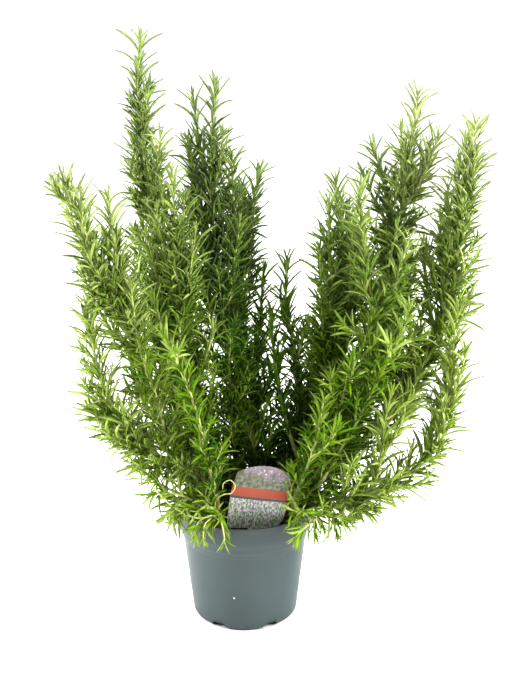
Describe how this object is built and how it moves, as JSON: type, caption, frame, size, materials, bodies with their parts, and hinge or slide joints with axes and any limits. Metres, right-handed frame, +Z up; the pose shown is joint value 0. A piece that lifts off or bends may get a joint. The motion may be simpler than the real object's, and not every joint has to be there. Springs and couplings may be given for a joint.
{
  "type": "potted rosemary plant",
  "caption": "Upright rosemary plant with woody bases and long leafy stems, in a tapered round nursery pot of soil with a plant label pushed in at the front.",
  "frame": {"origin": "on the pot's axis, at the middle of its underside, on the surface that the pot stands on", "axes": "+Z up along the pot's axis, -Y towards the front, where the label faces, +X to the right seen from the front"},
  "size_m": [0.4504, 0.2458, 0.6365],
  "materials": {
    "pot": "satin",
    "soil": "matte",
    "label": "satin",
    "wood": "matte",
    "leaves": "satin"
  },
  "bodies": {
    "root": {"pot": "pot", "soil": "soil", "label": "label", "wood_back": "wood", "wood_front_left": "wood", "wood_left": "wood", "wood_left_back": "wood", "wood_middle": "wood", "wood_middle_right": "wood", "wood_right": "wood", "wood_right_back": "wood", "wood_right_front": "wood", "stem_back_far_left": "leaves", "stem_back_far_right": "leaves", "stem_back_left": "leaves", "stem_back_middle": "leaves", "stem_back_right": "leaves", "stem_centre": "leaves", "stem_centre_front": "leaves", "stem_centre_right": "leaves", "stem_front_left": "leaves", "stem_front_right": "leaves", "stem_left_inner": "leaves", "stem_left_low": "leaves", "stem_left_outer": "leaves", "stem_left_tall": "leaves", "stem_middle_back": "leaves", "stem_middle_low": "leaves", "stem_middle_right": "leaves", "stem_middle_tall": "leaves", "stem_right_centre": "leaves", "stem_right_front": "leaves", "stem_right_inner": "leaves", "stem_right_low": "leaves", "stem_right_lowest": "leaves", "stem_right_middle": "leaves", "stem_right_outer": "leaves", "stem_right_tall": "leaves", "stem_rim_far_left": "leaves", "stem_rim_front_left": "leaves", "stem_rim_front_right": "leaves", "stem_rim_left": "leaves", "stem_rim_right": "leaves"}
  },
  "joints": []
}
